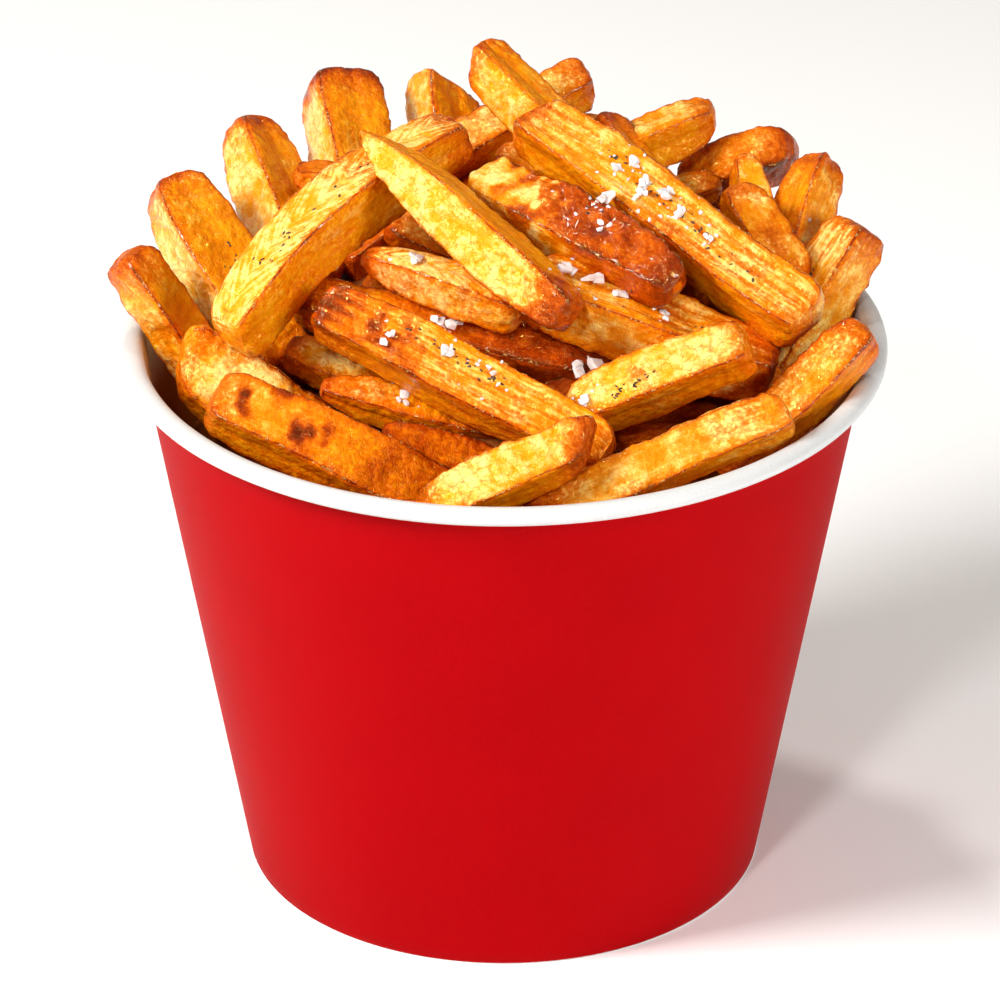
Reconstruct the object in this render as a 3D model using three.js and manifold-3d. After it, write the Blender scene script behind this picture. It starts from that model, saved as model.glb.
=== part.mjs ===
import * as THREE from 'three';
import { mergeVertices } from 'three/addons/utils/BufferGeometryUtils.js';
import Module from 'manifold-3d';

const wasm = await Module();
wasm.setup();

// Driving dimensions, in millimetres. The cup stands on z = 0 with its axis on Z, and is seen from -Y.
const cup = {
  height: 126.5,        // floor to the top of the rolled rim
  footRadius: 57.5,     // outside of the wall at the floor
  neckRadius: 79.2,     // outside of the wall below the rolled rim
  rimRadius: 84,        // outside of the rolled rim
  rollWidth: 5,         // rolled rim, across
  rollHeight: 3.8,      // rolled rim, up and down
  rollArc: [1.163, 3],  // from the sheet's outside round to its inside, in half turns
  rollSteps: 12,
  board: 0.7,           // thickness of the sheet
  hemHeight: 7,         // the foot of the sheet, folded in
  hemThickness: 1.8,
  baseThickness: 0.8,
  facets: 64,
};
const gap = 0.3;        // between pieces that touch

// The heap below what shows: radius and height of its top from the middle out, and a mound at the back.
const coreTop = [[73, 95], [62, 102], [46, 110], [25, 118], [0, 121]];
const mound = { at: [-4, 28, 100], radii: [50, 42, 36], around: 24, down: 12 };

const endLength = 3;    // over which a stick's end draws in
const endShrink = 0.8;
const corner = 0.72;    // where a stick's long corners are cut, 1 would leave them sharp
const taperPower = 2.2;
const slantPower = 1.5;

// Sticks: both ends [x, y, z] of the middle line, [width, thickness] and the roll about it in degrees.
// tips: how wide the two ends stay; bow: rise of the middle; cut: slant of the two end faces.
const sticks = {
  // The ones that lie across the front and the top.
  topSlab: [[6, 28, 165], [65, -18, 138], [14, 13.5], 24, { tips: [0.9, 0.95], cut: [-0.3, 0] }],
  leftArc: [[-59, -17, 134], [-10, 30, 160], [14, 14], -1, { tips: [0.9, 0.7], bow: 6 }],
  pointed: [[-31, 14, 168], [14, -27, 144], [12, 12], 62, { tips: [0.2, 0.75] }],
  glazed: [[-5, 16, 155], [37, -18, 147], [14, 12.5], 20, { tips: [0.7, 0.65] }],
  leftInner: [[-30, -1, 146], [3, -17, 140], [9, 9], 10, { tips: [0.5, 1] }],
  rightInner: [[6, -11, 144], [58, -18, 126], [14, 14], 13, { tips: [0.9, 0.9] }],
  frontLong: [[-39, -14, 140], [22, -43, 119], [13.5, 13.5], 36, { tips: [0.85, 0.8] }],
  darkUnder: [[-45, 0, 134], [23, -18, 126], [11, 11], 31, { tips: [0.8, 0.6] }],
  frontRight: [[15, -29, 122], [52, -29, 138], [11.5, 11.5], 33, { tips: [0.85, 1] }],
  frontShort: [[-15, -64, 117], [18, -56, 129], [11.5, 10.5], 35, { tips: [0.8, 0.8], cut: [0, -0.8] }],
  rimRight: [[6, -59, 112], [60, -46, 131], [10.5, 9.5], 39, { tips: [0.8, 0.9] }],
  frontFat: [[-62, -31, 127], [-8, -42, 103], [15, 13.5], 35, { tips: [0.8, 0.9] }],
  leftWedge: [[-70, -10, 126], [-42, -14, 106], [18, 14], 50, { tips: [0.85, 1], cut: [0.4, 0] }],

  // The ones that stand out around the rim, from the left over the back to the right.
  leftEdge: [[-54, -1, 100], [-82.6, 3, 143.5], [10.5, 10], -23, { tips: [0.8, 1] }],
  leftWide: [[-50, 0, 117], [-74, 34, 147], [16, 16], -6, { tips: [1, 0.7] }],
  leftFan: [[-42, 20, 128], [-57, 58, 150], [14, 14], 23, { tips: [1, 0.7] }],
  uprightBlock: [[-30, 33, 135], [-38, 69, 155], [16, 16], 12, { tips: [1, 0.95] }],
  wedgeEnd: [[-9, 53, 127], [-14, 72, 153], [14, 14], 19, { tips: [1, 0.85], cut: [0, -0.7] }],
  crossBack: [[-19, 45, 143], [19, 68, 156], [10.5, 10.5], 16, { tips: [0.9, 0.9], cut: [0, -0.2] }],
  peak: [[20, 32, 150], [-5, 52, 170], [11, 11], -78, { tips: [1, 0.85], cut: [0, 0.35] }],
  farMiddle: [[17, 43, 145], [47, 57, 152], [10, 10], 0, { tips: [0.9, 0.8], cut: [0, -0.45] }],
  farRight: [[41, 58, 134], [65, 57, 144], [11.5, 11.5], 37, { tips: [0.8, 0.85], bow: 2, cut: [0, -0.2] }],
  rightBack: [[62, 19, 128], [71, 40, 150], [11, 11], 60, { tips: [0.9, 0.65] }],
  rightLean: [[54, 1, 104], [79, 20, 142], [13, 13], 89, { tips: [0.9, 0.9] }],
  rightEdge: [[47, -37, 112], [78, -21, 137], [10.5, 10.5], 25, { tips: [0.9, 0.9] }],

  // Short ends and stubs between them.
  underSlab: [[-1, 37, 152], [24, 30, 145], [8, 8], 22, { tips: [0.9, 0.9] }],
  stubLeft: [[-34, 37, 144], [-46, 37, 147], [7.5, 7.5], -85, { tips: [1, 0.7] }],
  stubFar: [[32, 34, 143], [22, 52, 154], [8, 8], -65, { tips: [1, 0.8] }],
  stubRight: [[30, 50, 133], [48, 47, 140], [7, 7], 38, { tips: [1, 0.8] }],
  paleTip: [[60, 16, 130], [53, 41, 149], [8.5, 8.5], 5, { tips: [1, 0.55] }],
  brownTip: [[63, 11, 133], [50, 25, 149], [11, 11], -12, { tips: [1, 0.6] }],
  frontThin: [[-39, -21, 123], [-1, -25, 115], [9, 9], 27, { tips: [0.5, 0.8] }],
  innerPale: [[-47, -3, 124], [-27, -9, 118], [9, 9], 29, { tips: [0.8, 0.9] }],
  innerBrown: [[-26, -24, 112], [-1, -25, 104], [9.5, 8.5], 32, { tips: [0.9, 0.9] }],
  innerLeft: [[-25, 26, 141], [-7, 24, 133], [8.5, 8.5], 34, { tips: [0.8, 1] }],
  innerAcross: [[-35, 24, 132], [-19, 38, 138], [9, 9], 7],
  innerFront: [[20, -28, 112], [40, -22, 112], [7, 7], 31, { tips: [0.9, 0.9] }],

  // The second layer, in the gaps.
  underA: [[28, -12, 112], [57, -24, 109], [12, 11], 20, { tips: [0.9, 0.9] }],
  underB: [[4, -22, 115], [36, -12, 123], [11, 11], 35, { tips: [0.9, 0.9] }],
  underC: [[38, 5, 118], [59, -8, 114], [12, 12], 10, { tips: [0.9, 0.9] }],
  underD: [[-30, 14, 128], [14, 2, 130], [12, 12], 25, { tips: [0.9, 0.9] }],
  underE: [[8, 22, 138], [44, 4, 134], [12, 12], 15, { tips: [0.9, 0.9] }],
  underF: [[18, 35, 140], [50, 20, 131], [11, 11], 30, { tips: [0.9, 0.9] }],
  underG: [[-26, -63, 110], [9, -57, 109], [12, 12], 20, { tips: [0.9, 0.9] }],
  underH: [[30, -56, 104], [62, -30, 106], [12, 11], 20, { tips: [0.9, 0.9] }],
  underL: [[2, -36, 108], [32, -46, 109], [11, 11], 10, { tips: [0.9, 0.9] }],
  underM: [[-12, -49, 102], [26, -54, 104], [12, 12], 25, { tips: [0.9, 0.9] }],
  underN: [[-58, -32, 102], [-32, -58, 104], [12, 12], 20, { tips: [0.9, 0.9] }],
  underP: [[66, -4, 109], [61, -31, 99], [10, 10], 15, { tips: [0.9, 0.8] }],

  // The far side.
  backA: [[-60, 36, 115], [-16, 69, 121], [12, 12], 20, { tips: [0.9, 0.9] }],
  backB: [[-4, 70, 119], [44, 55, 124], [12, 12], -25, { tips: [0.9, 0.8] }],
  backC: [[46, 50, 118], [68, 18, 118], [11, 10], 15, { tips: [0.9, 0.9] }],
  backD: [[-20, 36, 124], [-27, 80, 133], [12, 11], 10, { tips: [1, 0.8] }],
  backE: [[4, 42, 127], [8, 82, 137], [12, 11], 30, { tips: [1, 0.9] }],
  backF: [[21, 33, 129], [35, 76, 137], [12, 12], 15, { tips: [1, 0.8] }],
  backG: [[-38, 30, 117], [-55, 44, 126], [11, 11], 20, { tips: [1, 0.9] }],
  backH: [[-8, 42, 137], [24, 62, 145], [12, 11], 10, { tips: [0.9, 0.9] }],
};

// Salt flakes: the stick under each, how far along it, how far across its upper face, and the flake's size.
const flakes = [
  ['topSlab', 0.34, -0.39, 4], ['topSlab', 0.32, 0.08, 3], ['topSlab', 0.41, -0.02, 3.5],
  ['topSlab', 0.46, -0.37, 6], ['topSlab', 0.43, 0.3, 3], ['topSlab', 0.54, -0.08, 4.5],
  ['topSlab', 0.66, 0, 3], ['topSlab', 0.3, 0.75, 6.5], ['glazed', 0.62, -0.25, 3],
  ['rightInner', 0.1, -0.27, 5.5], ['rightInner', 0.23, -0.18, 5], ['rightInner', 0.34, 0.16, 4],
  ['rightInner', 0.53, 0.31, 3], ['frontLong', 0.25, 0.27, 3], ['frontLong', 0.43, -0.22, 4],
  ['frontLong', 0.57, -0.25, 3], ['darkUnder', 0.46, 0.09, 6], ['darkUnder', 0.5, -0.16, 5],
  ['darkUnder', 0.92, 0.3, 6], ['frontThin', 0.44, 0.09, 4], ['frontRight', 0.1, 0.5, 4],
  ['rightBack', 0.29, 0.09, 3], ['leftInner', 0.3, 0.1, 4],
];
const flake = {
  sides: 5,
  turn: 2.4,            // from one flake to the next, in radians
  height: 0.45,         // the rest are shares of its size
  topRadius: 0.36,
  footRadius: 0.5,
};
const flakeBed = 0.15;      // how far its middle stands above the stick's face, as a share of its height

const up = new THREE.Vector3(0, 0, 1);
const neckHeight = cup.height - cup.rollHeight;
const outside = (z) => cup.footRadius + ((cup.neckRadius - cup.footRadius) * z) / neckHeight;
const inside = (z) => outside(z) - cup.board;

// A geometry as a solid that can be joined, without the empty triangles at its poles.
function solid(geometry) {
  const bare = geometry.clone();
  bare.deleteAttribute('normal');
  bare.deleteAttribute('uv');
  const merged = mergeVertices(bare, 1e-4);
  const corners = merged.index.array;
  const kept = [];
  for (let i = 0; i < corners.length; i += 3) {
    const [a, b, c] = [corners[i], corners[i + 1], corners[i + 2]];
    if (a !== b && b !== c && c !== a) kept.push(a, b, c);
  }
  return new wasm.Manifold(new wasm.Mesh({
    numProp: 3,
    vertProperties: new Float32Array(merged.attributes.position.array),
    triVerts: new Uint32Array(kept),
  }));
}

function geometryOf(joined) {
  const mesh = joined.getMesh();
  const geometry = new THREE.BufferGeometry();
  geometry.setAttribute('position', new THREE.BufferAttribute(new Float32Array(mesh.vertProperties), 3));
  geometry.setIndex(new THREE.BufferAttribute(new Uint32Array(mesh.triVerts), 1));
  geometry.computeVertexNormals();
  return geometry;
}

// Turned about Z from [radius, height] points: up on the outside, down on the inside.
function turned(points) {
  const profile = points.map(([radius, height]) => new THREE.Vector2(radius, height));
  return new THREE.LatheGeometry(profile, cup.facets).rotateX(Math.PI / 2);
}

// The sidewall in one closed profile: the sheet, the rolled rim and the hem folded in at the foot.
function wallGeometry() {
  const rollMiddle = cup.rimRadius - cup.rollWidth / 2;
  const rollHeight = cup.height - cup.rollHeight / 2;
  const [first, last] = cup.rollArc.map((turns) => turns * Math.PI);
  const roll = [];
  for (let i = 0; i <= cup.rollSteps; i++) {
    const angle = first + ((last - first) * i) / cup.rollSteps;
    roll.push([
      rollMiddle + (cup.rollWidth / 2) * Math.cos(angle),
      rollHeight + (cup.rollHeight / 2) * Math.sin(angle),
    ]);
  }
  return turned([
    [outside(0), 0],
    ...roll,
    [inside(neckHeight), neckHeight],
    [inside(cup.hemHeight), cup.hemHeight],
    [outside(cup.hemHeight) - cup.hemThickness, cup.hemHeight],
    [outside(0) - cup.hemThickness, 0],
    [outside(0), 0],
  ]);
}

const baseBottom = cup.hemHeight + gap;
const baseTop = baseBottom + cup.baseThickness;

function baseGeometry() {
  const upper = inside(baseTop) - gap;
  const lower = inside(baseBottom) - gap;
  const disc = new THREE.CylinderGeometry(upper, lower, cup.baseThickness, cup.facets);
  return disc.rotateX(Math.PI / 2).translate(0, 0, (baseBottom + baseTop) / 2);
}

// A stick's shape: the point at t along it, x across it and y up from its middle line, both from -1 to 1.
function shapeOf([from, to, size, roll, { tips = [1, 1], bow = 0, cut = [0, 0] } = {}]) {
  const start = new THREE.Vector3(...from);
  const run = new THREE.Vector3(...to).sub(start);
  const along = run.clone().normalize();
  const level = along.clone().cross(up).normalize();
  const turn = THREE.MathUtils.degToRad(roll);
  const face = level.clone().cross(along).multiplyScalar(Math.cos(turn));
  face.addScaledVector(level, Math.sin(turn));
  const side = along.clone().cross(face);
  const at = (t, x, y) => {
    const out = 1 - 2 * t;
    const taper = 1 - (1 - tips[out > 0 ? 0 : 1]) * Math.abs(out) ** taperPower;
    const across = (x * taper * size[0]) / 2;
    const slant = cut[out > 0 ? 0 : 1] * Math.abs(out) ** slantPower;
    return start.clone()
      .addScaledVector(run, t)
      .addScaledVector(face, bow * (1 - out * out) + (y * taper * size[1]) / 2)
      .addScaledVector(side, across)
      .addScaledVector(along, slant * across);
  };
  return { at, face, along, length: run.length() };
}

// Eight sides, and seven stations along it.
function stickGeometry(shape) {
  const sides = 8;
  const steps = 6;
  const ends = endLength / shape.length;
  const stations = [0, ends, 0.25, 0.5, 0.75, 1 - ends, 1];
  const octagon = new THREE.CylinderGeometry(1, 1, 1, sides, steps, false, Math.PI / sides);
  const points = octagon.attributes.position;
  for (let i = 0; i < points.count; i++) {
    const [x, z] = [points.getX(i), points.getZ(i)];
    const row = Math.round((points.getY(i) + 0.5) * steps);
    const grow = row === 0 || row === steps ? endShrink : 1;
    const square = Math.abs(x) > Math.abs(z) ? [1, corner] : [corner, 1];
    const isMiddle = Math.abs(x) + Math.abs(z) < 0.1;
    const across = isMiddle ? 0 : Math.sign(x) * square[0] * grow;
    const rise = isMiddle ? 0 : Math.sign(z) * square[1] * grow;
    points.setXYZ(i, ...shape.at(stations[row], across, rise));
  }
  return octagon;
}

// A salt flake: a low five-sided plate, bedded on the stick's upper face.
function flakeGeometry(shape, along, across, size, index) {
  const height = size * flake.height;
  const [top, foot] = [size * flake.topRadius, size * flake.footRadius];
  const plate = new THREE.CylinderGeometry(top, foot, height, flake.sides);
  plate.rotateY(index * flake.turn);
  const stand = new THREE.Quaternion().setFromUnitVectors(new THREE.Vector3(0, 1, 0), shape.face);
  plate.applyQuaternion(stand);
  const bed = shape.at(along, across, 1).addScaledVector(shape.face, height * flakeBed);
  return plate.translate(bed.x, bed.y, bed.z);
}

function coreSolid() {
  const floor = baseTop + gap;
  const body = turned([
    [0, floor],
    [inside(floor) - gap, floor],
    ...coreTop,
  ]);
  const back = new THREE.SphereGeometry(1, mound.around, mound.down);
  back.rotateX(Math.PI / 2).scale(...mound.radii).translate(...mound.at);
  return solid(body).add(solid(back));
}

function heapGeometry() {
  let heap = coreSolid();
  const shapes = {};
  for (const [name, stick] of Object.entries(sticks)) {
    shapes[name] = shapeOf(stick);
    heap = heap.add(solid(stickGeometry(shapes[name])));
  }
  flakes.forEach(([name, along, across, size], index) => {
    heap = heap.add(solid(flakeGeometry(shapes[name], along, across, size, index)));
  });
  // Only the one joined body stays, with any space shut inside it filled.
  const bodies = heap.decompose().sort((a, b) => b.volume() - a.volume());
  return geometryOf(bodies[0]);
}

const paint = (color, roughness) => new THREE.MeshStandardMaterial({ color, roughness, metalness: 0 });

const group = new THREE.Group();

const wall = new THREE.Mesh(wallGeometry(), paint(0xc8101c, 0.55));
wall.name = 'cup_wall';
group.add(wall);

const base = new THREE.Mesh(baseGeometry(), paint(0xf2f0ec, 0.6));
base.name = 'cup_base';
group.add(base);

const heap = new THREE.Mesh(heapGeometry(), paint(0xe09a2c, 0.5));
heap.name = 'plantain_heap';
group.add(heap);

export default group;
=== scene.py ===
import math

import bmesh
import bpy
import numpy as np
from mathutils import Matrix, Vector
from mathutils.bvhtree import BVHTree


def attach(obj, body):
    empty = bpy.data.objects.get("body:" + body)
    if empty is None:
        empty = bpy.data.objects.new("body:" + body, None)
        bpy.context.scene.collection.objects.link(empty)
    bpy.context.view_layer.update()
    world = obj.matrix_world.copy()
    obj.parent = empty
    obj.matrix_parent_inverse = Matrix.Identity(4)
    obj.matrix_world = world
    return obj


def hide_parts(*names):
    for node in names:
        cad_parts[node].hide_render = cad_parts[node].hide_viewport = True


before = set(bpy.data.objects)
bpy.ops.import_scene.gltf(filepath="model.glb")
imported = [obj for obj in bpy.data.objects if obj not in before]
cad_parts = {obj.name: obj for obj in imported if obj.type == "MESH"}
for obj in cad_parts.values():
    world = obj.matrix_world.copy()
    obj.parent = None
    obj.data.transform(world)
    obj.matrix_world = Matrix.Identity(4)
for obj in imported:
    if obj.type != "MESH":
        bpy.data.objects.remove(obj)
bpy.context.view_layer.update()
mm = 0.001
print("frame loaded:", sorted(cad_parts))

# Everything below is in millimetres and turned to metres when a mesh is finished.
# The cup stands on z = 0 with its axis on Z, and is seen from -Y.

camera = {
    "target": (-0.84, 0, 85.2),
    "distance": 1500,
    "tilt": 28,           # degrees above the horizon
    "lens": 243.47,
    "sensor": 36,
}


def addCamera():
    data = bpy.data.cameras.new("camera")
    data.lens, data.sensor_width = camera["lens"], camera["sensor"]
    data.clip_start, data.clip_end = 0.05, 20
    piece = bpy.data.objects.new("camera", data)
    tilt = math.radians(camera["tilt"])
    back = Vector((0, -math.cos(tilt), math.sin(tilt)))
    piece.location = (Vector(camera["target"]) + back * camera["distance"]) * mm
    piece.rotation_euler = (math.pi / 2 - tilt, 0, 0)
    bpy.context.collection.objects.link(piece)
    bpy.context.scene.camera = piece


# Soft studio light: a key from the upper left, a weak fill, and two small ones for the glints.
lights = {
    "key": {"at": (-920, -400, 850), "size": 460, "power": 20, "colour": (1.0, 0.985, 0.96)},
    "fill": {"at": (930, -760, 480), "size": 420, "power": 10, "colour": (1.0, 1.0, 1.0)},
    "above": {"at": (-150, 380, 1050), "size": 100, "power": 2.6, "colour": (1.0, 0.96, 0.9)},
    "spark": {"at": (-260, -900, 900), "size": 140, "power": 4.0, "colour": (1.0, 1.0, 1.0)},
    "aim": (0, 0, 110),
    "world": 0.17,
    "worldColour": (1.0, 0.92, 0.80, 1),
}


def addLights():
    aim = Vector(lights["aim"])
    for name in ("key", "fill", "above", "spark"):
        made = lights[name]
        data = bpy.data.lights.new(name, "AREA")
        data.shape, data.size = "DISK", made["size"] * mm
        data.energy, data.color = made["power"], made["colour"]
        piece = bpy.data.objects.new(name, data)
        place = Vector(made["at"])
        piece.location = place * mm
        piece.rotation_euler = (place - aim).to_track_quat("Z", "Y").to_euler()
        bpy.context.collection.objects.link(piece)
    world = bpy.data.worlds.new("studio")
    world.use_nodes = True
    background = world.node_tree.nodes["Background"]
    background.inputs["Color"].default_value = lights["worldColour"]
    background.inputs["Strength"].default_value = lights["world"]
    bpy.context.scene.world = world
    bpy.context.scene.view_settings.view_transform = "Standard"


class Wire:
    # One output of a node. Sums on it add Math nodes.
    def __init__(self, paint, socket):
        self.paint, self.socket = paint, socket

    def math(self, operation, *others):
        values = dict(enumerate((self, *others)))
        return self.paint.node("Math", {"operation": operation}, values)

    def __add__(self, other):
        return self.math("ADD", other)

    def __sub__(self, other):
        return self.math("SUBTRACT", other)

    def __mul__(self, other):
        return self.math("MULTIPLY", other)

    def __rsub__(self, other):
        return self * -1 + other

    __radd__ = __add__
    __rmul__ = __mul__


class Paint:
    # A material while its nodes are being added.
    def __init__(self, name):
        self.material = bpy.data.materials.new(name)
        self.material.use_nodes = True
        self.tree = self.material.node_tree
        self.tree.nodes.clear()

    def node(self, kind, settings=None, sockets=None, output=0):
        made = self.tree.nodes.new("ShaderNode" + kind)
        for key, value in (settings or {}).items():
            setattr(made, key, value)
        for key, value in (sockets or {}).items():
            if isinstance(value, Wire):
                self.tree.links.new(value.socket, made.inputs[key])
            else:
                made.inputs[key].default_value = value
        return Wire(self, made.outputs[output]) if len(made.outputs) else None

    def noise(self, place, size, detail=2.0, rough=0.5):
        # size is that of one lump, in millimetres
        sockets = {"Vector": place, "Scale": 1 / (size * mm), "Detail": detail, "Roughness": rough}
        return self.node("TexNoise", None, sockets)

    def smooth(self, value, low, high):
        settings = {"interpolation_type": "SMOOTHSTEP"}
        return self.node("MapRange", settings, {"Value": value, "From Min": low, "From Max": high})

    def blend(self, factor, first, second):
        colours = [c if isinstance(c, Wire) else (*c, 1) for c in (first, second)]
        return self.node("Mix", {"data_type": "RGBA"}, {0: factor, 6: colours[0], 7: colours[1]}, 2)

    def bump(self, height, strength, distance):
        sockets = {"Height": height, "Strength": strength, "Distance": distance * mm}
        return self.node("Bump", None, sockets)

    def finish(self, **sockets):
        names = {key.replace("_", " "): value for key, value in sockets.items()}
        shader = self.node("BsdfPrincipled", None, names)
        self.node("OutputMaterial", None, {"Surface": shader})
        return self.material


crust = {
    "cream": (0.97, 0.69, 0.21),
    "yellow": (0.89, 0.36, 0.005),
    "golden": (0.84, 0.33, 0.003),
    "orange": (0.76, 0.205, 0.001),
    "amber": (0.68, 0.135, 0.0005),
    "deep": (0.45, 0.052, 0.0006),
    "brown": (0.25, 0.021, 0.0006),
    "caramel": (0.11, 0.0075, 0.0005),
    "bead": (0.95, 0.56, 0.16),
    "grit": 0.95,              # sizes of the fine lumps
    "wrinkle": 1.6,
    "web": 2.5,                # size of the cells between the fine cracks
    "wander": 1.8,             # how far those cells are pulled about
    "streak": (0.13, 1.3, 1),  # strands to a millimetre, along and across
    "browning": [              # colour, where it starts and is full, and how much of it covers
        ("amber", 0.05, 0.36, 0.95),
        ("deep", 0.3, 0.62, 0.95),
        ("brown", 0.55, 0.9, 1),
        ("caramel", 0.85, 1.25, 1),
    ],
    "roughness": 0.21,
    "fatRoughness": 0.06,
    "fatTint": (1.0, 0.72, 0.16, 1),
    "glow": (1.0, 0.3, 0.06),  # how far each colour of light goes into the crust
    "glowDepth": 2.5,
    "bump": (0.9, 0.6),        # strength and depth
}


def friedCrust():
    # pale, toast, fibre, tone and crisp come from the mesh; only what is finer is made here
    paint = Paint("friedCrust")
    place = paint.node("TexCoord", None, None, "Object")
    pale, toast, fibre, tone, crisp = [
        paint.node("Attribute", {"attribute_name": name}, None, "Fac")
        for name in ("pale", "toast", "fibre", "tone", "crisp")
    ]
    grit = paint.noise(place, crust["grit"], 1.5, 0.6)
    wrinkle = paint.noise(place, crust["wrinkle"], 0.5, 0.5)
    grain = paint.node("UVMap", {"uv_map": "grain"})
    stretched = paint.node("Mapping", None, {"Vector": grain, "Scale": crust["streak"]})
    streak = paint.node("TexNoise", {"noise_dimensions": "2D"},
                        {"Vector": stretched, "Scale": 1, "Detail": 1, "Roughness": 0.6})
    # a web of fine cracks, its cells pulled about by the grit and the wrinkles
    pull = paint.node("CombineXYZ", None, {0: grit * crust["wander"], 1: wrinkle * crust["wander"]})
    pulled = paint.node("VectorMath", {"operation": "ADD"}, {0: grain, 1: pull})
    edge = paint.node("TexVoronoi", {"feature": "DISTANCE_TO_EDGE", "voronoi_dimensions": "2D"},
                      {"Vector": pulled, "Scale": 1 / crust["web"]}, "Distance")
    furrow = paint.smooth((grit - 0.5).math("ABSOLUTE"), 0.0, 0.1)
    strand = paint.smooth(streak, 0.3, 0.7)
    onPale = paint.smooth(pale + tone * 0.5, 0.3, 1.0) * (1 - fibre)
    cells = paint.smooth(edge, 0.0, 0.25)
    web = (1 - paint.smooth(edge, 0.0, 0.07)) * (onPale + 0.12)

    light = (tone * 1.1 + (wrinkle - 0.5) * 1.1 + (furrow - 0.5) * 0.35
             + (strand - 0.5) * (fibre * 0.95 + 0.1) + (cells - 0.5) * onPale * 0.15)
    paleFace = paint.blend(paint.smooth(light, -0.5, 0.75), crust["yellow"], crust["cream"])
    cutFace = paint.blend(paint.smooth(light, -0.5, 0.6), crust["orange"], crust["golden"])
    share = pale + light * 0.25
    face = paint.blend(paint.smooth(share, 0.1, 0.9), cutFace, paleFace)
    face = paint.blend(web * paint.smooth(grit + tone * 0.3, 0.25, 0.5) * 0.6, face, crust["amber"])

    fried = toast + (grit - 0.5) * (0.6 + crisp * 0.7) - tone * 0.1 + (0.5 - strand) * fibre * 0.25
    for colour, start, full, most in crust["browning"]:
        face = paint.blend(paint.smooth(fried, start, full) * most, face, crust[colour])
    # light beads of froth along the crisp edges, their paler colour partly a painted glint
    bead = paint.smooth(grit, 0.54, 0.64) * crisp
    face = paint.blend(bead * 0.7, face, crust["bead"])

    dark = paint.smooth(fried, 0.4, 1.0)
    height = wrinkle + grit * 0.1 + furrow * 0.14 + bead * 0.35
    return paint.finish(
        Base_Color=face,
        Roughness=crust["roughness"] - (grit - 0.5) * 0.25 - dark * 0.05,
        Specular_IOR_Level=0.55,
        Specular_Tint=crust["fatTint"],
        Coat_Weight=dark * 0.4 + crisp * 0.2,
        Coat_Roughness=crust["fatRoughness"],
        Subsurface_Weight=0.3,
        Subsurface_Radius=crust["glow"],
        Subsurface_Scale=crust["glowDepth"] * mm,
        Normal=paint.bump(height, *crust["bump"]),
    )


def saltGlass():
    paint = Paint("saltGlass")
    place = paint.node("TexCoord", None, None, "Object")
    cloud = paint.noise(place, 1.6)
    tint = paint.blend(paint.smooth(cloud, 0.4, 0.6), (0.84, 0.80, 0.79), (0.72, 0.64, 0.62))
    return paint.finish(
        Base_Color=tint,
        Roughness=0.25 + cloud * 0.2,
        Normal=paint.bump(paint.noise(place, 0.5), 0.25, 0.1),
        Subsurface_Weight=0.4,
        Subsurface_Radius=(1, 0.8, 0.7),
        Subsurface_Scale=1.5 * mm,
    )


def seedHusk():
    paint = Paint("seedHusk")
    place = paint.node("TexCoord", None, None, "Object")
    patch = paint.smooth(paint.noise(place, 1.2), 0.35, 0.65)
    tint = paint.blend(patch, (0.018, 0.010, 0.005), (0.13, 0.04, 0.01))
    return paint.finish(Base_Color=tint, Roughness=0.3 + patch * 0.2)


def shadedCrumb():
    # dark brown crumbs, darker than any stick: partly the crumbs' own colour, partly painted shade for the
    # deep gaps between the sticks
    paint = Paint("shadedCrumb")
    place = paint.node("TexCoord", None, None, "Object")
    patch = paint.smooth(paint.noise(place, 6, 3, 0.6), 0.35, 0.65)
    tint = paint.blend(patch, (0.09, 0.016, 0.002), (0.28, 0.065, 0.005))
    height = paint.noise(place, 2.0, 3, 0.6)
    return paint.finish(
        Base_Color=tint,
        Roughness=0.6 + patch * 0.1,
        Specular_IOR_Level=0.15,
        Normal=paint.bump(height, 0.8, 0.9),
    )


def board(name, colour, roughness, gloss=0.3):
    # coated paper: an even print with the sheet's faint tooth under it
    paint = Paint(name)
    place = paint.node("TexCoord", None, None, "Object")
    cloud = paint.noise(place, 30, 1, 0.6)
    tooth = paint.noise(place, 0.5, 1, 0.6)
    lighter = [min(1, c * 1.03) for c in colour]
    darker = [c * 0.96 for c in colour]
    tint = paint.blend(paint.smooth(cloud + (tooth - 0.5) * 1.2, 0.25, 0.75), darker, lighter)
    return paint.finish(
        Base_Color=tint,
        Roughness=roughness + (tooth - 0.5) * 0.2,
        Specular_IOR_Level=gloss,
        Normal=paint.bump(tooth, 0.45, 0.1),
    )


def innerShadeBoard(low, high):
    # the white inner side, painted tan to dark red-brown further down as shade and as warm light thrown
    # back from the sticks
    paint = Paint("innerShadeBoard")
    place = paint.node("TexCoord", None, None, "Object")
    level = paint.node("SeparateXYZ", None, {"Vector": place}, "Z")
    edge = level + (paint.noise(place, 12) - 0.5) * 8 * mm
    tint = paint.blend(paint.smooth(edge, low * mm, high * mm), (0.52, 0.14, 0.02), (0.82, 0.80, 0.77))
    return paint.finish(Base_Color=tint, Roughness=0.45, Specular_IOR_Level=0.3)


def keep(piece, slot, *nodes):
    # every piece rides on the one body and stands for its CAD nodes
    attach(piece, "root")
    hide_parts(*nodes)
    return piece


def addPiece(name, mesh, *materials):
    piece = bpy.data.objects.new(name, mesh)
    for material in materials:
        mesh.materials.append(material)
    mesh.shade_smooth()
    bpy.context.collection.objects.link(piece)
    return piece


def addFood(name, mesh, material):
    return keep(addPiece(name, mesh, material), "fried_plantain", "plantain_heap")


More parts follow.
